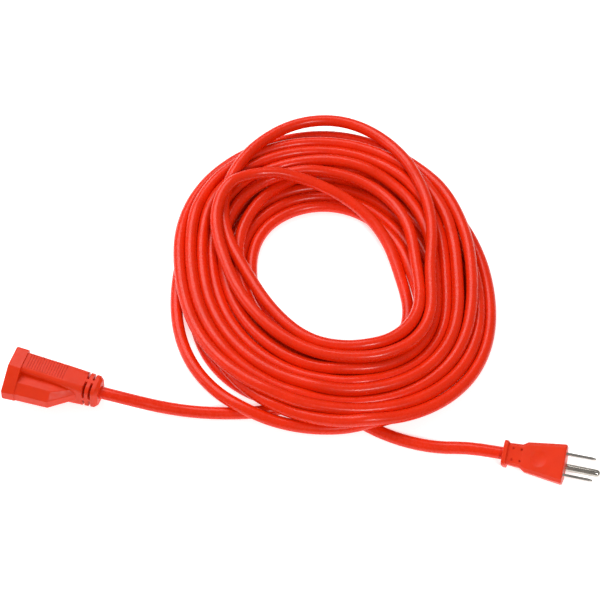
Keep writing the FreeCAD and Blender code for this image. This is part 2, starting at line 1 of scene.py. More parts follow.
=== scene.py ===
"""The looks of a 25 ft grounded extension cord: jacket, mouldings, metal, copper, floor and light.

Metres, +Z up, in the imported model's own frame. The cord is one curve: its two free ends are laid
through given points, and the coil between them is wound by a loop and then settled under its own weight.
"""
import json
import math

import bmesh
import bpy
import numpy as np
from mathutils import Matrix, Vector


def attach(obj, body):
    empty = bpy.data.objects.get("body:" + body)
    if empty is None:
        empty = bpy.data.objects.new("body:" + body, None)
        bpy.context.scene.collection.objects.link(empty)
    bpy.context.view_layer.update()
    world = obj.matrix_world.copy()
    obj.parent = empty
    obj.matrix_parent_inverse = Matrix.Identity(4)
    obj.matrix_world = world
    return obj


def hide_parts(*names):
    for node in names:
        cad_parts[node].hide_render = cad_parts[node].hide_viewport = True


bl_info = {
    "name": "Extension cord looks",
    "version": (1, 0, 0),
    "blender": (4, 5, 0),
    "location": "View3D > Sidebar > Cord",
    "description": "Lays the cord in its coil and finishes the plug, the connector and the stage",
    "category": "Object",
}

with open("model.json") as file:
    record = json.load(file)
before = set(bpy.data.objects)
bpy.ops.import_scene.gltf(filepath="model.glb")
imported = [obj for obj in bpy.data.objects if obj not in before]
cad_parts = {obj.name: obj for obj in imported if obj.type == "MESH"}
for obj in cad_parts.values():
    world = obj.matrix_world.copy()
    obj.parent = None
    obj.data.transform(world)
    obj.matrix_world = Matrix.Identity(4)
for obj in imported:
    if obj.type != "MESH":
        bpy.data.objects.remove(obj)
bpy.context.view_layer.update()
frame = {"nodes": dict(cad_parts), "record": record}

MM = 0.001

# --- the cord ---
CORD_D = 0.0078
CORD_LENGTH = 7.62
FLOOR_LINE = CORD_D / 2          # the cord's centre where it lies on the floor
CORD_FINENESS = 4                # points traced from the spline to each control point
JACKET_FINENESS = 10             # how finely the jacket is rounded

# Given points of the two free ends, each from inside its moulding to the coil.
CONNECTOR_ROUTE = [(-0.1361, 0.0239, 0.0124), (-0.1062, 0.0161, 0.0107), (-0.079, 0.0124, FLOOR_LINE),
                   (-0.052, 0.0092, FLOOR_LINE), (-0.02, 0.01, FLOOR_LINE)]
PLUG_ROUTE = [(0.1326, -0.0231, 0.0117), (0.1081, -0.0156, 0.0077), (0.086, -0.0142, FLOOR_LINE),
              (0.064, -0.0092, FLOOR_LINE), (0.044, 0.0, FLOOR_LINE), (0.028, 0.012, FLOOR_LINE)]

# Under the coil's front and up inside it, where the connector's end becomes the top turn.
UNDERPASS = [(0.008, 0.018, FLOOR_LINE), (0.036, 0.033, FLOOR_LINE), (0.058, 0.053, FLOOR_LINE)]

# --- the coil: how far each turn lies from the middle on eight sides, in mm, topmost turn first ---
COIL_MIDDLE = (0.021, 0.108)
COIL_SIDES = 8
COIL_TURNS = [
    # E, NE, N, NW, W, SW, S, SE
    (48, 51, 66, 93, 67, 60, 67, 76),
    (63, 88, 124, 96, 56, 50, 64, 75),
    (59, 68, 79, 86, 73, 69, 75, 81),
    (70, 80, 91, 95, 79, 76, 81, 87),
    (77, 90, 101, 102, 85, 83, 88, 94),
    (83, 98, 109, 107, 88, 89, 95, 102),
    (92, 100, 116, 109, 91, 96, 104, 110),
    (95, 92, 88, 74, 58, 57, 62, 74),
    (54, 55, 61, 61, 53, 54, 63, 73),
    (62, 62, 69, 69, 60, 61, 70, 80),
    (70, 69, 77, 77, 67, 69, 78, 88),
    (78, 76, 85, 85, 74, 79, 88, 98),
    (86, 85, 94, 93, 81, 94, 105, 115),
    (102, 98, 104, 101, 100, 112, 112, 108),
    (94, 98, 110, 105, 90, 98, 97, 96),
]
COIL_START = -0.10               # turns before the first row's east side
COIL_STOP = 14.73
COIL_START_RADIUS = 0.064
CLIMB = 0.2                      # turns over which the first one rises from the floor
DROP_FROM = 0.6                  # diameters over the floor from which the last turn is dropped
POINTS_PER_TURN = 24             # of the plan, before it settles
PLAN_RESOLUTION = 8              # points read from the plan's spline to each control point

# --- settling: lengths in metres, times in steps ---
STEP = 0.004                     # between the settling line's points
KEEP_EVERY = 3                   # settled points to each control point of the finished cord
HELD_AT_START = 0.215            # of the connector's end, which stays where it is laid
HELD_AT_END = 0.100              # of the plug's end
UNDER = 0.278                    # of the connector's end, which every later stretch passes over
DROP_STEPS = 400
CLEAR_STEPS = 200
FALL = 0.0012                    # a step's fall at first
SLOWEST = 0.1                    # share of it that is left at the end of the drop
CLEAR_FALL = 0.00005             # a step's fall while the last overlaps clear
PAIRS_EVERY = 6                  # steps between searches for neighbours
REACH = 1.5                      # diameters within which points may soon touch
NEIGHBOURS = 6                   # points along the cord that never count as touching
CROSSING = 0.12                  # sine of the angle past which two stretches cross
PUSH = (1.3, 1.3, 1.9)           # how strongly an overlap is undone along each axis
DROP_PUSHES = 4
CLEAR_PUSHES = 6
KEEP_DRIFT = 0.97                # share of the sideways drift that is kept while it drops
STIFF_ASIDE = 4                  # points over which the jacket's stiffness evens it out sideways
STIFF_UPWARD = 5                 # and upward
STIFFNESS = 0.35
LEAST_GAP = 1e-6                 # taken as the gap between two points in one place
LEAST_STEP = 1e-9                # taken as the run of a stretch that stands straight up

# --- finishes: patterns per metre, tones and gloss as changes to a finish's own, reliefs in metres ---
VINYL_MOTTLE = 90.0
VINYL_TONES = (0.95, 1.05)
VINYL_RUBS = 420.0
VINYL_RUB_DETAIL = 6.0
VINYL_RUB_GLOSS = (-0.05, 0.09)
VINYL_RUB_RANGE = (0.35, 0.75)
VINYL_WAVES = 120.0
VINYL_WAVE_DEPTH = 0.00008
VINYL_GRAIN = 3200.0
VINYL_SPECULAR = 0.27
VINYL_DEPTH = 0.0012             # how far light spreads inside it
VINYL_SPREAD = (1.0, 0.16, 0.05)
VINYL_TRANSLUCENCE = 0.12
JACKET_GRAIN = 0.000005
DRAW_LINES = (150.0, 34.0, 1.0)  # faint lines along the whole cord, and round it
DRAW_DEPTH = 0.000005
MOULDED_ROUGHNESS = 0.42
MOULDED_GRAIN = 0.000014
INSULATION_ROUGHNESS = 0.4
INSULATION_GRAIN = 0.00001
PLASTIC_MOTTLE = 240.0
PLASTIC_TONES = (0.9, 1.1)
PLASTIC_GLOSS_SCALE = 900.0
PLASTIC_GLOSS = (-0.04, 0.06)
PLASTIC_GRAIN = 5200.0
PLASTIC_DEPTH = 0.00002
INSERT_ROUGHNESS = 0.38
BRIDGE_ROUGHNESS = 0.45
METAL_STAIN = 260.0
METAL_TONES = (0.86, 1.06)
METAL_LINES = 700.0
METAL_STRETCH = (0.04, 1.0, 1.0)         # the lines run far along the piece
METAL_GLOSS = (-0.05, 0.12)
PLATE_ROUGHNESS = 0.13
BRASS_ROUGHNESS = 0.28
PLATE_DEPTH = 0.000004
COPPER_ROUGHNESS = 0.3
COPPER_DEPTH = 0.000003
FLOOR_MOTTLE = 3.0
FLOOR_TONES = (0.995, 1.0)
FLOOR_ROUGHNESS = 0.9
FLOOR_SPECULAR = 0.1
MIX_FIRST = 6                    # a colour mix's sockets, which share their names with others
MIX_SECOND = 7
MIX_RESULT = 2

# --- the copies of the CAD shapes ---
WELD = 2e-6                      # triangle corners this near are one
FLAT = math.radians(0.6)         # faces this near to one plane are one
SHARP = math.radians(28)         # outer edges past this angle are softened
SMOOTH = math.radians(32)        # faces up to this angle shade as one
EDGE_STEPS = 2
EDGE_PROFILE = 0.6
SHORTEST_EDGE = 2                # in widths of the softened edge
METAL_EDGE = 0.00012

# --- the wires inside each moulding, as the mouldings' own frames have them ---
WIRE_LAY = 0.0017
WIRE_SPLAY = 0.6
WIRE_STRAIGHT = 0.16
WIRE_FINENESS = 8                # points traced from the spline to each control point
BLADE_GAP = 0.0127
GROUND_DROP = 0.0119
CRIMP_LENGTH = 0.0036
CRIMP_STOP = 0.0006
WIRES = {"line": (1, 0), "neutral": (-1, 0), "ground": (0, 1)}    # its side, and 1 for the lower one
WIRE_COLOURS = {"line": (0.012, 0.012, 0.013), "neutral": (0.78, 0.77, 0.74),
                "ground": (0.02, 0.24, 0.06)}
WIRE_ENDS = {
    # blades, ground, blades above the cord's axis, crimp's front and jacket's end behind the face
    "plug": ("blades", "ground_pin", 0.0038, -0.01, -0.029),
    "socket": ("blade_slots", "ground_hole", 0.0006, -0.02, -0.042),
}
STRAND = 0.0003
TWIST = 0.012
STRAND_STEP = 0.0005
STRAND_RINGS = ((6, 1.0), (12, 2.0))     # strands in each ring, and its radius in strands
STRAND_NESTING = 0.97            # of a ring's radius, as strands press into each other
STRAND_FILL = 0.48               # a strand's radius as a share of its diameter, a little under half
STRAND_FINENESS = 8

# --- the stage ---
LOOK_AT = (0.002, 0.095, 0.0)
LENS = 76.7
SENSOR = 36.0
FLOOR_SIZE = 40.0                # wide, so that its edge is far away
LIGHTS = {
    # where it stands, and its size
    "key": ((-0.5, 0.75, 1.1), (1.2, 0.8)),
    "rim": ((-1.3, 0.1, 0.4), (0.8, 0.5)),
    "front": ((0.35, -0.75, 1.0), (0.25, 0.15)),
}


def rgb(colour):
    """A colour property as a plain RGBA tuple."""
    return (colour[0], colour[1], colour[2], 1.0)


# ---------------------------------------------------------------- sizes and colours

class CordSettings(bpy.types.PropertyGroup):
    """The cord's size and finish."""
    diameter: bpy.props.FloatProperty(
        name="Diameter", description="Outside of the round jacket", default=CORD_D, unit="LENGTH")
    length: bpy.props.FloatProperty(
        name="Length", description="Cord between its two mouldings", default=CORD_LENGTH, unit="LENGTH")
    jacket: bpy.props.FloatVectorProperty(
        name="Jacket", description="Colour of the jacket", default=(0.77, 0.023, 0.001), subtype="COLOR",
        min=0.0, max=1.0)
    roughness: bpy.props.FloatProperty(
        name="Roughness", description="How dull the extruded jacket is", default=0.27, subtype="FACTOR",
        min=0.0, max=1.0)


class MouldingSettings(bpy.types.PropertyGroup):
    """The plug's and the connector's finish."""
    vinyl: bpy.props.FloatVectorProperty(
        name="Vinyl", description="Colour of the two mouldings", default=(0.73, 0.029, 0.001),
        subtype="COLOR", min=0.0, max=1.0)
    edge: bpy.props.FloatProperty(
        name="Edge", description="Softness of the mouldings' edges", default=0.00035, unit="LENGTH")
    insert: bpy.props.FloatVectorProperty(
        name="Insert", description="Colour of the connector's hard insert", default=(0.62, 0.032, 0.010),
        subtype="COLOR", min=0.0, max=1.0)
    bridge: bpy.props.FloatVectorProperty(
        name="Bridge", description="Colour of the plug's inner bridge", default=(0.03, 0.03, 0.032),
        subtype="COLOR", min=0.0, max=1.0)


class MetalSettings(bpy.types.PropertyGroup):
    """Blades, contacts and conductors."""
    plated: bpy.props.FloatVectorProperty(
        name="Plating", description="Nickel on the blades and the pin", default=(0.55, 0.51, 0.46),
        subtype="COLOR", min=0.0, max=1.0)
    brass: bpy.props.FloatVectorProperty(
        name="Brass", description="The connector's contacts", default=(0.78, 0.55, 0.23),
        subtype="COLOR", min=0.0, max=1.0)
    copper: bpy.props.FloatVectorProperty(
        name="Copper", description="The conductors", default=(0.86, 0.42, 0.26), subtype="COLOR",
        min=0.0, max=1.0)
    strand: bpy.props.FloatProperty(
        name="Strand", description="Diameter of one copper strand", default=STRAND, unit="LENGTH")
    twist: bpy.props.FloatProperty(
        name="Twist", description="Length over which the strands go once round", default=TWIST,
        unit="LENGTH")


class StageSettings(bpy.types.PropertyGroup):
    """Floor, lights and camera."""
    floor: bpy.props.FloatVectorProperty(
        name="Floor", description="Colour of the floor", default=(0.93, 0.93, 0.93), subtype="COLOR",
        min=0.0, max=1.0)
    glow: bpy.props.FloatProperty(
        name="Floor glow", description="Light of the floor's own, which keeps its shadows faint",
        default=0.6)
    key_power: bpy.props.FloatProperty(
        name="Key light", description="Power of the large soft light behind the coil", default=14.0,
        unit="POWER")
    rim_power: bpy.props.FloatProperty(
        name="Rim light", description="Power of the low soft light on the left", default=2.6, unit="POWER")
    front_power: bpy.props.FloatProperty(
        name="Front light", description="Power of the small light beside the camera", default=6.5,
        unit="POWER")
    sky: bpy.props.FloatProperty(
        name="Surround", description="Brightness of the white surround", default=0.32)
    distance: bpy.props.FloatProperty(
        name="Distance", description="Camera to the point it looks at", default=0.843, unit="LENGTH")
    elevation: bpy.props.FloatProperty(
        name="Elevation", description="Camera's height above the floor", default=math.radians(58.0),
        subtype="ANGLE", unit="ROTATION")


# ---------------------------------------------------------------- materials

def new_material(name):
    """A node material: returns it, its tree and its Principled shader."""
    made = bpy.data.materials.new(name)
    made.use_nodes = True
    return made, made.node_tree, made.node_tree.nodes["Principled BSDF"]


def noise(tree, scale, detail=3.0, stretch=(1.0, 1.0, 1.0), turn=(0.0, 0.0, 0.0)):
    """A noise pattern in the object's own metres; returns its value output."""
    place = tree.nodes.new("ShaderNodeTexCoord")
    lay = tree.nodes.new("ShaderNodeMapping")
    lay.inputs["Rotation"].default_value = turn
    lay.inputs["Scale"].default_value = stretch
    grain = tree.nodes.new("ShaderNodeTexNoise")
    grain.inputs["Scale"].default_value = scale
    grain.inputs["Detail"].default_value = detail
    tree.links.new(place.outputs["Object"], lay.inputs["Vector"])
    tree.links.new(lay.outputs["Vector"], grain.inputs["Vector"])
    return grain.outputs["Fac"]


def spread(tree, value, low, high, floor=0.3, ceiling=0.7):
    """Maps a pattern's middle range on to a range of its own."""
    ranged = tree.nodes.new("ShaderNodeMapRange")
    ranged.inputs["From Min"].default_value = floor
    ranged.inputs["From Max"].default_value = ceiling
    ranged.inputs["To Min"].default_value = low
    ranged.inputs["To Max"].default_value = high
    tree.links.new(value, ranged.inputs["Value"])
    return ranged.outputs["Result"]


def two_tone(tree, value, first, second):
    """A colour that runs from first to second as a pattern's value goes from 0 to 1."""
    mix = tree.nodes.new("ShaderNodeMix")
    mix.data_type = "RGBA"
    tree.links.new(value, mix.inputs["Factor"])
    mix.inputs[MIX_FIRST].default_value = rgb(first)
    mix.inputs[MIX_SECOND].default_value = rgb(second)
    return mix.outputs[MIX_RESULT]


def bump(tree, value, depth, under=None):
    """A relief of a real depth in metres, over another one if given."""
    relief = tree.nodes.new("ShaderNodeBump")
    relief.inputs["Strength"].default_value = 1.0
    relief.inputs["Distance"].default_value = depth
    tree.links.new(value, relief.inputs["Height"])
    if under is not None:
        tree.links.new(under, relief.inputs["Normal"])
    return relief.outputs["Normal"]


def shade(colour, factor):
    """A colour made lighter or darker."""
    return tuple(min(1.0, channel * factor) for channel in colour[:3])


def mottle(tree, shader, colour, scale, tones):
    """Gives a shader its colour, in places darker and in places lighter by two tones."""
    dark, light = (shade(colour, tone) for tone in tones)
    blotch = spread(tree, noise(tree, scale), 0.0, 1.0)
    tree.links.new(two_tone(tree, blotch, dark, light), shader.inputs["Base Color"])


def gloss(tree, shader, pattern, rough, change, limits=(0.3, 0.7)):
    """Gives a shader its roughness, which a pattern lowers and raises by two changes."""
    low, high = (rough + part for part in change)
    tree.links.new(spread(tree, pattern, low, high, *limits), shader.inputs["Roughness"])


def vinyl(name, colour, rough, grain_depth):
    """Soft PVC: mottled colour, uneven gloss, fine grain, a few dull rubs and slow unevenness."""
    made, tree, shader = new_material(name)
    mottle(tree, shader, colour, VINYL_MOTTLE, VINYL_TONES)
    rubs = noise(tree, VINYL_RUBS, VINYL_RUB_DETAIL)
    gloss(tree, shader, rubs, rough, VINYL_RUB_GLOSS, VINYL_RUB_RANGE)
    slow = bump(tree, noise(tree, VINYL_WAVES, 1.0), VINYL_WAVE_DEPTH)
    fine = bump(tree, noise(tree, VINYL_GRAIN, 2.0), grain_depth, slow)
    tree.links.new(fine, shader.inputs["Normal"])
    shader.inputs["Specular IOR Level"].default_value = VINYL_SPECULAR
    shader.inputs["Subsurface Weight"].default_value = VINYL_TRANSLUCENCE
    shader.inputs["Subsurface Radius"].default_value = VINYL_SPREAD
    shader.inputs["Subsurface Scale"].default_value = VINYL_DEPTH
    return made


def jacket_vinyl(name, colour, rough):
    """Extruded PVC: the soft vinyl with faint lines along the cord, where the die drew it out."""
    made = vinyl(name, colour, rough, JACKET_GRAIN)
    tree = made.node_tree
    shader = tree.nodes["Principled BSDF"]
    around = tree.nodes.new("ShaderNodeUVMap")
    around.uv_map = "UVMap"
    lay = tree.nodes.new("ShaderNodeMapping")
    lay.inputs["Scale"].default_value = DRAW_LINES
    lines = tree.nodes.new("ShaderNodeTexNoise")
    lines.inputs["Scale"].default_value = 1.0
    lines.inputs["Detail"].default_value = 2.0
    tree.links.new(around.outputs["UV"], lay.inputs["Vector"])
    tree.links.new(lay.outputs["Vector"], lines.inputs["Vector"])
    under = shader.inputs["Normal"].links[0].from_socket
    tree.links.new(bump(tree, lines.outputs["Fac"], DRAW_DEPTH, under), shader.inputs["Normal"])
    return made


def hard_plastic(name, colour, rough):
    """Rigid moulded plastic: near-even colour, fine spark-eroded texture."""
    made, tree, shader = new_material(name)
    mottle(tree, shader, colour, PLASTIC_MOTTLE, PLASTIC_TONES)
    gloss(tree, shader, noise(tree, PLASTIC_GLOSS_SCALE), rough, PLASTIC_GLOSS)
    tree.links.new(bump(tree, noise(tree, PLASTIC_GRAIN, 2.0), PLASTIC_DEPTH), shader.inputs["Normal"])
    return made


def metal(name, colour, rough, along, depth):
    """Plated or drawn metal with fine lines along the piece and slightly uneven gloss."""
    made, tree, shader = new_material(name)
    turn = (0.0, 0.0, -math.atan2(along.y, along.x))
    drawn = noise(tree, METAL_LINES, stretch=METAL_STRETCH, turn=turn)
    mottle(tree, shader, colour, METAL_STAIN, METAL_TONES)
    gloss(tree, shader, drawn, rough, METAL_GLOSS)
    tree.links.new(bump(tree, drawn, depth), shader.inputs["Normal"])
    shader.inputs["Metallic"].default_value = 1.0
    return made


# ---------------------------------------------------------------- the cord

def spline_of(name, points):
    """A curve object of one open NURBS spline with these control points."""
    curve = bpy.data.curves.new(name, "CURVE")
    curve.dimensions = "3D"
    spline = curve.splines.new("NURBS")
    spline.points.add(len(points) - 1)
    for point, place in zip(spline.points, points):
        point.co = (*place, 1.0)
    spline.order_u = 3
    spline.use_endpoint_u = True
    made = bpy.data.objects.new(name, curve)
    bpy.context.scene.collection.objects.link(made)
    return made


def mesh_of(guide):
    """A guide curve, with what its modifiers make of it, as a plain mesh; the guide is removed."""
    bpy.context.view_layer.update()
    made = bpy.data.meshes.new_from_object(guide.evaluated_get(bpy.context.evaluated_depsgraph_get()))
    guide.modifiers.clear()
    curve = guide.data
    bpy.data.objects.remove(guide)
    bpy.data.curves.remove(curve)
    return made


def line_of(points, resolution):
    """The points that a NURBS spline with these control points passes through."""
    guide = spline_of("guide", points)
    guide.data.resolution_u = resolution
    traced = mesh_of(guide)
    line = np.array([vertex.co for vertex in traced.vertices])
    bpy.data.meshes.remove(traced)
    return line


def turn_radius(turns):
    """The coil's radius after so many turns, smooth through the eight sides of each turn."""
    radii = [radius * MM for row in COIL_TURNS for radius in row]
    side = max(turns, 0.0) * COIL_SIDES
    at = int(side)
    part = side - at
    # A cubic through the two sides that it lies between, with the slopes that their neighbours give.
    before, start, end, after = (radii[min(max(at + step, 0), len(radii) - 1)] for step in (-1, 0, 1, 2))
    slope = (end - before) / 2
    bend = before - 2.5 * start + 2 * end - after / 2
    curl = (after - before) / 2 + 1.5 * (start - end)
    return start + part * (slope + part * (bend + part * curl))


def coil_plan():
    """The coil's control points before it settles: the first turn highest, each a diameter lower."""
    steps = int((COIL_STOP - COIL_START) * POINTS_PER_TURN)
    points = []
    for i in range(steps + 1):
        turns = COIL_START + (COIL_STOP - COIL_START) * i / steps
        radius = turn_radius(turns)
        if turns < 0:
            radius += (COIL_START_RADIUS - radius) * turns / COIL_START
        climb = min(max(turns / CLIMB, 0.0), 1.0)
        climb = climb * climb * (3 - 2 * climb)
        height = FLOOR_LINE + CORD_D * (len(COIL_TURNS) + DROP_FROM - turns) * climb
        angle = 2 * math.pi * turns
        points.append((COIL_MIDDLE[0] + radius * math.cos(angle),
                       COIL_MIDDLE[1] + radius * math.sin(angle), height))
    return points


def even_line(line, step):
    """The same line with its points at an even step, as seen from above."""
    runs = np.linalg.norm(np.diff(line[:, :2], axis=0), axis=1)
    reach = np.concatenate([[0.0], np.cumsum(runs)])
    at = np.linspace(0.0, reach[-1], int(round(reach[-1] / step)) + 1)
    return np.stack([np.interp(at, reach, line[:, axis]) for axis in range(3)], axis=1)


def bell(width):
    """The weights of a bell curve so many points wide."""
    reach = np.arange(-3 * width, 3 * width + 1)
    weights = np.exp(-(reach / width) ** 2 / 2)
    return weights / weights.sum()


def stiffen(values, weights):
    """Takes part of the unevenness out of some values along the cord, as its stiffness does."""
    ends = len(weights) // 2
    even = np.convolve(np.pad(values, ends, mode="edge"), weights, "valid")
    return values + STIFFNESS * (even - values)


def near_pairs(line):
    """Pairs of points that may soon touch, and the sine of the angle at which their stretches cross."""
    square = (line ** 2).sum(axis=1)
    gap = square[:, None] + square[None, :] - 2 * line @ line.T
    first, second = np.nonzero(np.triu(gap < (REACH * CORD_D) ** 2, NEIGHBOURS))
    way = np.gradient(line[:, :2], axis=0)
    way /= np.maximum(np.linalg.norm(way, axis=1), LEAST_STEP)[:, None]
    sine = np.abs(way[first, 0] * way[second, 1] - way[first, 1] * way[second, 0])
    return first, second, sine


def push_apart(line, pairs):
    """Moves overlapping points away from each other, or straight up and down where they cross."""
    first, second, sine = pairs
    between = line[second] - line[first]
    gap = np.linalg.norm(between, axis=1)
    near = gap < CORD_D
    first, second, sine, between, gap = first[near], second[near], sine[near], between[near], gap[near]
    if not len(gap):
        return
    push = between * ((CORD_D - gap) / (2 * np.maximum(gap, LEAST_GAP)))[:, None]
    cross = sine > CROSSING
    # The second point is later along the cord: it lies under the first, or over the connector's end.
    side = np.where(first[cross] < UNDER / STEP, 1.0, -1.0)
    apart = np.sqrt(np.maximum(CORD_D ** 2 - (between[cross, :2] ** 2).sum(axis=1), 0.0))
    push[cross, :2] = 0.0
    push[cross, 2] = side * np.maximum(apart - side * between[cross, 2], 0.0) / 2
    count = np.bincount(first, minlength=len(line)) + np.bincount(second, minlength=len(line))
    for axis in range(3):
        moved = np.bincount(second, push[:, axis], len(line)) - np.bincount(first, push[:, axis], len(line))
        line[:, axis] += PUSH[axis] * moved / np.maximum(count, 1)


def settle(line):
    """Lets the line fall on the floor and on itself, and pushes its stretches out of each other."""
    place = line.copy()
    along = STEP * np.arange(len(line))
    held = (along < HELD_AT_START) | (along > along[-1] - HELD_AT_END)
    aside, upward = bell(STIFF_ASIDE), bell(STIFF_UPWARD)
    for step in range(DROP_STEPS + CLEAR_STEPS):
        if step % PAIRS_EVERY == 0:
            pairs = near_pairs(place)
        clearing = step >= DROP_STEPS
        # Full speed for the first half of the drop, and then slower and slower.
        slowing = min(1.0, max(SLOWEST, 2 * (1 - step / DROP_STEPS)))
        place[:, 2] -= CLEAR_FALL if clearing else FALL * slowing
        for axis in (0, 1):
            drift = stiffen(place[:, axis] - line[:, axis], aside)
            place[:, axis] = line[:, axis] + drift * (1.0 if clearing else KEEP_DRIFT)
        place[:, 2] = stiffen(place[:, 2], upward)
        for _ in range(CLEAR_PUSHES if clearing else DROP_PUSHES):
            push_apart(place, pairs)
        place[:, 2] = np.maximum(place[:, 2], FLOOR_LINE)
        place[held] = line[held]
    return place


def nearest(line, point):
    """Which of a line's points is nearest to a place."""
    return int(np.argmin(np.linalg.norm(line - np.array(point), axis=1)))


def cord_points():
    """Control points from the connector to the plug: given ends, settled coil between them."""
    front = CONNECTOR_ROUTE + UNDERPASS
    back = PLUG_ROUTE[::-1]
    settled = settle(even_line(line_of(front + coil_plan() + back, PLAN_RESOLUTION), STEP))
    start = nearest(settled, front[-1]) + KEEP_EVERY
    stop = nearest(settled, back[0]) - KEEP_EVERY
    return front + [tuple(place) for place in settled[start:stop:KEEP_EVERY]] + back


class CORD_OT_lay_cord(bpy.types.Operator):
    """Lay the cord from the connector through its coil to the plug"""
    bl_idname = "cord.lay_cord"
    bl_label = "Lay the cord"

    def execute(self, context):
        sizes = context.scene.cord_settings
        cord = spline_of("cord_jacket", cord_points())
        cord.data.resolution_u = CORD_FINENESS
        cord.data.bevel_depth = sizes.diameter / 2
        cord.data.bevel_resolution = JACKET_FINENESS
        cord.data.use_fill_caps = True
        cord.data.materials.append(jacket_vinyl("cord vinyl", sizes.jacket, sizes.roughness))
        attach(cord, "root")
        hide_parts("connector_lead", "cord_coil", "plug_lead")
        return {"FINISHED"}


# ---------------------------------------------------------------- the mouldings, the metal and the wires

def stand_in(name, mesh):
    """A finished mesh as the piece that replaces a CAD node."""
    piece = bpy.data.objects.new(f"{name}_piece", mesh)
    bpy.context.scene.collection.objects.link(piece)
    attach(piece, "root")
    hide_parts(name)
    return piece


def smooth_copy(name, edge, finish):
    """A CAD node's own shape with its triangles joined, its sharp outer edges softened, and its finish."""
    shape = bmesh.new()
    shape.from_mesh(frame["nodes"][name].data)
    bmesh.ops.remove_doubles(shape, verts=shape.verts, dist=WELD)
    bmesh.ops.dissolve_limit(shape, angle_limit=FLAT, verts=shape.verts, edges=shape.edges)
    if edge:
        sharp = [e for e in shape.edges if e.is_manifold and e.is_convex
                 and e.calc_face_angle() > SHARP and e.calc_length() > SHORTEST_EDGE * edge]
        bmesh.ops.bevel(shape, geom=sharp, offset=edge, offset_type="OFFSET", segments=EDGE_STEPS,
                        profile=EDGE_PROFILE, affect="EDGES", clamp_overlap=True)
    mesh = bpy.data.meshes.new(f"{name}_piece")
    shape.to_mesh(mesh)
    shape.free()
    mesh.shade_smooth()
    mesh.set_sharp_from_angle(angle=SMOOTH)
    mesh.materials.clear()
    mesh.materials.append(finish)
    flats = stand_in(name, mesh).modifiers.new("true flats", "WEIGHTED_NORMAL")
    flats.keep_sharp = True


class CORD_OT_finish_mouldings(bpy.types.Operator):
    """Give the plug's and the connector's mouldings soft edges and their vinyl"""
    bl_idname = "cord.finish_mouldings"
    bl_label = "Finish the mouldings"

    def execute(self, context):
        look = context.scene.moulding_settings
        soft = vinyl("moulded vinyl", look.vinyl, MOULDED_ROUGHNESS, MOULDED_GRAIN)
        insert = hard_plastic("insert plastic", look.insert, INSERT_ROUGHNESS)
        bridge = hard_plastic("bridge plastic", look.bridge, BRIDGE_ROUGHNESS)
        smooth_copy("plug_overmould", look.edge, soft)
        smooth_copy("socket_overmould", look.edge, soft)
        smooth_copy("socket_insert", look.edge / 2, insert)
        smooth_copy("plug_bridge", look.edge / 2, bridge)
        return {"FINISHED"}


class CORD_OT_finish_metal(bpy.types.Operator):
    """Plate the blades and the ground pin and finish the connector's contacts"""
    bl_idname = "cord.finish_metal"
    bl_label = "Finish the metal"

    def execute(self, context):
        look = context.scene.metal_settings
        plated = metal("nickel plate", look.plated, PLATE_ROUGHNESS, mount_axis("ground_pin"), PLATE_DEPTH)
        for name in ("plug_line_blade", "plug_neutral_blade", "plug_ground_pin"):
            smooth_copy(name, METAL_EDGE, plated)
        brass = metal("contact brass", look.brass, BRASS_ROUGHNESS, mount_axis("ground_hole"), PLATE_DEPTH)
        for name in ("socket_line_contact", "socket_neutral_contact", "socket_ground_contact"):
            smooth_copy(name, 0.0, brass)
        return {"FINISHED"}


def mount(name):
    """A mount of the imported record: where it is and which way it points."""
    found = next(m for m in frame["record"]["mounts"] if m["name"] == name)
    return Vector(found["pos_m"]), Vector(found["axis"])


def mount_axis(name):
    """The way a mount points."""
    return mount(name)[1]


def moulding_frame(blades, ground, blade_z):
    """A moulding's own frame: +X out of its face, +Z towards its blades, the cord's axis at the origin."""
    at, out = mount(blades)
    up = at - mount(ground)[0]
    up = (up - out * up.dot(out)).normalized()
    side = up.cross(out)
    turned = Matrix((out, side, up)).transposed().to_4x4()
    return Matrix.Translation(at - up * blade_z) @ turned


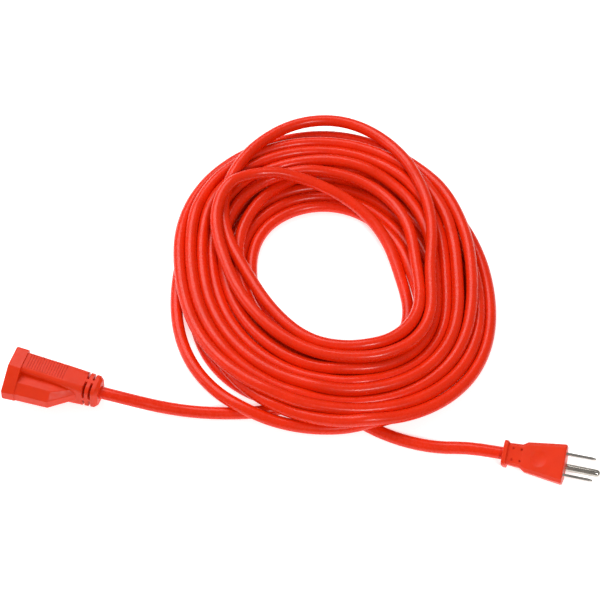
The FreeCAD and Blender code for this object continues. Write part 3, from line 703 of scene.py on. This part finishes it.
def stranded_wire_tree():
    """Geometry Nodes: one middle strand, six round it and twelve round those, twisted along a path."""
    tree = bpy.data.node_groups.new("stranded wire", "GeometryNodeTree")
    face = tree.interface
    face.new_socket("Path", in_out="INPUT", socket_type="NodeSocketGeometry")
    for name, value in (("Strand", STRAND), ("Twist", TWIST), ("Step", STRAND_STEP)):
        socket = face.new_socket(name, in_out="INPUT", socket_type="NodeSocketFloat")
        socket.default_value = value
    face.new_socket("Finish", in_out="INPUT", socket_type="NodeSocketMaterial")
    face.new_socket("Strands", in_out="OUTPUT", socket_type="NodeSocketGeometry")
    nodes, link = tree.nodes, tree.links.new
    given = nodes.new("NodeGroupInput")
    result = nodes.new("NodeGroupOutput")

    def maths(operation, first, second):
        """One step of arithmetic on two outputs or numbers; returns its result."""
        made = nodes.new("ShaderNodeMath")
        made.operation = operation
        for socket, value in zip(made.inputs, (first, second)):
            if isinstance(value, float):
                socket.default_value = value
            else:
                link(value, socket)
        return made.outputs[0]

    even = nodes.new("GeometryNodeResampleCurve")
    even.mode = "LENGTH"
    link(given.outputs["Path"], even.inputs["Curve"])
    link(given.outputs["Step"], even.inputs["Length"])
    along = nodes.new("GeometryNodeSplineParameter")
    turns = maths("DIVIDE", along.outputs["Length"], given.outputs["Twist"])
    tilt = nodes.new("GeometryNodeSetCurveTilt")
    link(even.outputs["Curve"], tilt.inputs["Curve"])
    link(maths("MULTIPLY", turns, 2 * math.pi), tilt.inputs["Tilt"])

    places = nodes.new("GeometryNodeJoinGeometry")
    middle = nodes.new("GeometryNodeMeshLine")
    middle.inputs["Count"].default_value = 1
    link(middle.outputs["Mesh"], places.inputs["Geometry"])
    for count, ring in STRAND_RINGS:
        circle = nodes.new("GeometryNodeMeshCircle")
        circle.inputs["Vertices"].default_value = count
        link(maths("MULTIPLY", given.outputs["Strand"], ring * STRAND_NESTING), circle.inputs["Radius"])
        link(circle.outputs["Mesh"], places.inputs["Geometry"])
    strand = nodes.new("GeometryNodeCurvePrimitiveCircle")
    strand.inputs["Resolution"].default_value = STRAND_FINENESS
    link(maths("MULTIPLY", given.outputs["Strand"], STRAND_FILL), strand.inputs["Radius"])
    repeat = nodes.new("GeometryNodeInstanceOnPoints")
    link(places.outputs["Geometry"], repeat.inputs["Points"])
    link(strand.outputs["Curve"], repeat.inputs["Instance"])
    section = nodes.new("GeometryNodeRealizeInstances")
    link(repeat.outputs["Instances"], section.inputs["Geometry"])

    sweep = nodes.new("GeometryNodeCurveToMesh")
    sweep.inputs["Fill Caps"].default_value = True
    link(tilt.outputs["Curve"], sweep.inputs["Curve"])
    link(section.outputs["Geometry"], sweep.inputs["Profile Curve"])
    smooth = nodes.new("GeometryNodeSetShadeSmooth")
    link(sweep.outputs["Mesh"], smooth.inputs["Geometry"])
    whole = nodes.new("GeometryNodeRealizeInstances")
    link(smooth.outputs["Geometry"], whole.inputs["Geometry"])
    finish = nodes.new("GeometryNodeSetMaterial")
    link(whole.outputs["Geometry"], finish.inputs["Geometry"])
    link(given.outputs["Finish"], finish.inputs["Material"])
    link(finish.outputs["Geometry"], result.inputs["Strands"])
    return tree


def socket_id(tree, name):
    """The identifier of a tree's named input."""
    return next(item.identifier for item in tree.interface.items_tree
                if item.name == name and item.in_out == "INPUT")


def stranded(name, tree, path, look, finish):
    """One conductor's strands along a path, as a plain mesh that replaces its CAD node."""
    guide = spline_of(f"{name}_guide", path)
    guide.data.resolution_u = WIRE_FINENESS
    twist = guide.modifiers.new("strands", "NODES")
    twist.node_group = tree
    twist[socket_id(tree, "Strand")] = look.strand
    twist[socket_id(tree, "Twist")] = look.twist
    twist[socket_id(tree, "Finish")] = finish
    stand_in(name, mesh_of(guide))


def wire_path(to_world, wire, crimp_front, blade_z, jacket_end):
    """A conductor's control points, from the stripped jacket to inside its crimp."""
    side, level = WIRES[wire]
    lay = Vector((0.0, side, WIRE_SPLAY if side else -1.0)).normalized() * WIRE_LAY
    end = Vector((0.0, side * BLADE_GAP / 2, blade_z - level * GROUND_DROP))
    stop = crimp_front - CRIMP_STOP
    straight = WIRE_STRAIGHT * (stop - jacket_end)
    local = [(jacket_end, lay), (jacket_end + straight, lay),
             (stop - CRIMP_LENGTH - straight, end), (stop, end)]
    return [tuple(to_world @ Vector((x, at.y, at.z))) for x, at in local]


class CORD_OT_finish_wires(bpy.types.Operator):
    """Colour the three wires' insulation and twist their copper strands"""
    bl_idname = "cord.finish_wires"
    bl_label = "Finish the wires"

    def execute(self, context):
        look = context.scene.metal_settings
        tree = stranded_wire_tree()
        along = Vector((1.0, 0.0, 0.0))
        copper = metal("copper strand", look.copper, COPPER_ROUGHNESS, along, COPPER_DEPTH)
        colours = {wire: vinyl(f"{wire} insulation", colour, INSULATION_ROUGHNESS, INSULATION_GRAIN)
                   for wire, colour in WIRE_COLOURS.items()}
        for prefix, (blades, ground, blade_z, crimp_front, jacket_end) in WIRE_ENDS.items():
            to_world = moulding_frame(blades, ground, blade_z)
            for wire in WIRES:
                smooth_copy(f"{prefix}_{wire}_wire", 0.0, colours[wire])
                path = wire_path(to_world, wire, crimp_front, blade_z, jacket_end)
                stranded(f"{prefix}_{wire}_strands", tree, path, look, copper)
        return {"FINISHED"}


# ---------------------------------------------------------------- the stage

def soft_light(name, place, target, size, power):
    """A rectangular soft light that faces a point."""
    lamp = bpy.data.lights.new(name, "AREA")
    lamp.shape = "RECTANGLE"
    lamp.size, lamp.size_y = size
    lamp.energy = power
    made = bpy.data.objects.new(name, lamp)
    made.location = place
    made.rotation_euler = (Vector(target) - Vector(place)).to_track_quat("-Z", "Y").to_euler()
    bpy.context.scene.collection.objects.link(made)


def pale_floor(colour, glow):
    """A wide plain floor with a faint mottle."""
    mesh = bpy.data.meshes.new("floor")
    half = FLOOR_SIZE / 2
    corners = [(-half, -half, 0.0), (half, -half, 0.0), (half, half, 0.0), (-half, half, 0.0)]
    mesh.from_pydata(corners, [], [(0, 1, 2, 3)])
    made, tree, shader = new_material("floor")
    mottle(tree, shader, colour, FLOOR_MOTTLE, FLOOR_TONES)
    shader.inputs["Roughness"].default_value = FLOOR_ROUGHNESS
    shader.inputs["Specular IOR Level"].default_value = FLOOR_SPECULAR
    shader.inputs["Emission Color"].default_value = rgb(colour)
    shader.inputs["Emission Strength"].default_value = glow
    mesh.materials.append(made)
    floor = bpy.data.objects.new("floor", mesh)
    bpy.context.scene.collection.objects.link(floor)


class CORD_OT_set_stage(bpy.types.Operator):
    """Set the floor, the soft lights, the white surround and the camera"""
    bl_idname = "cord.set_stage"
    bl_label = "Set the stage"

    def execute(self, context):
        look = context.scene.stage_settings
        pale_floor(look.floor, look.glow)
        world = bpy.data.worlds.new("surround")
        world.use_nodes = True
        sky = world.node_tree.nodes["Background"]
        sky.inputs["Color"].default_value = (1.0, 1.0, 1.0, 1.0)
        sky.inputs["Strength"].default_value = look.sky
        context.scene.world = world
        for name, (place, size) in LIGHTS.items():
            soft_light(name, place, LOOK_AT, size, getattr(look, f"{name}_power"))
        context.scene.view_settings.view_transform = "Standard"
        data = bpy.data.cameras.new("camera")
        data.sensor_width = SENSOR
        data.lens = LENS
        camera = bpy.data.objects.new("camera", data)
        back = Vector((0.0, -math.cos(look.elevation), math.sin(look.elevation)))
        camera.location = Vector(LOOK_AT) + back * look.distance
        camera.rotation_euler = (-back).to_track_quat("-Z", "Y").to_euler()
        context.scene.collection.objects.link(camera)
        context.scene.camera = camera
        return {"FINISHED"}


class CORD_PT_panel(bpy.types.Panel):
    """Sizes, colours and steps of the extension cord"""
    bl_idname = "CORD_PT_panel"
    bl_label = "Extension cord"
    bl_space_type = "VIEW_3D"
    bl_region_type = "UI"
    bl_category = "Cord"

    def draw(self, context):
        for group in SETTINGS:
            box = self.layout.box()
            for name in SETTINGS[group].__annotations__:
                box.prop(getattr(context.scene, group), name)
        for step in STEPS:
            self.layout.operator(step.bl_idname)


SETTINGS = {"cord_settings": CordSettings, "moulding_settings": MouldingSettings,
            "metal_settings": MetalSettings, "stage_settings": StageSettings}
STEPS = (CORD_OT_set_stage, CORD_OT_finish_mouldings, CORD_OT_finish_metal, CORD_OT_finish_wires,
         CORD_OT_lay_cord)


def register():
    """Adds the settings to the scene, and the steps and the panel to Blender."""
    for group, kind in SETTINGS.items():
        bpy.utils.register_class(kind)
        setattr(bpy.types.Scene, group, bpy.props.PointerProperty(type=kind))
    for step in STEPS + (CORD_PT_panel,):
        bpy.utils.register_class(step)


def unregister():
    """Takes the panel, the steps and the settings away again."""
    for step in reversed(STEPS + (CORD_PT_panel,)):
        bpy.utils.unregister_class(step)
    for group, kind in SETTINGS.items():
        delattr(bpy.types.Scene, group)
        bpy.utils.unregister_class(kind)


def main():
    """Takes every step in order."""
    register()
    for step in STEPS:
        area, name = step.bl_idname.split(".")
        getattr(getattr(bpy.ops, area), name)()


if __name__ == "__main__":
    main()
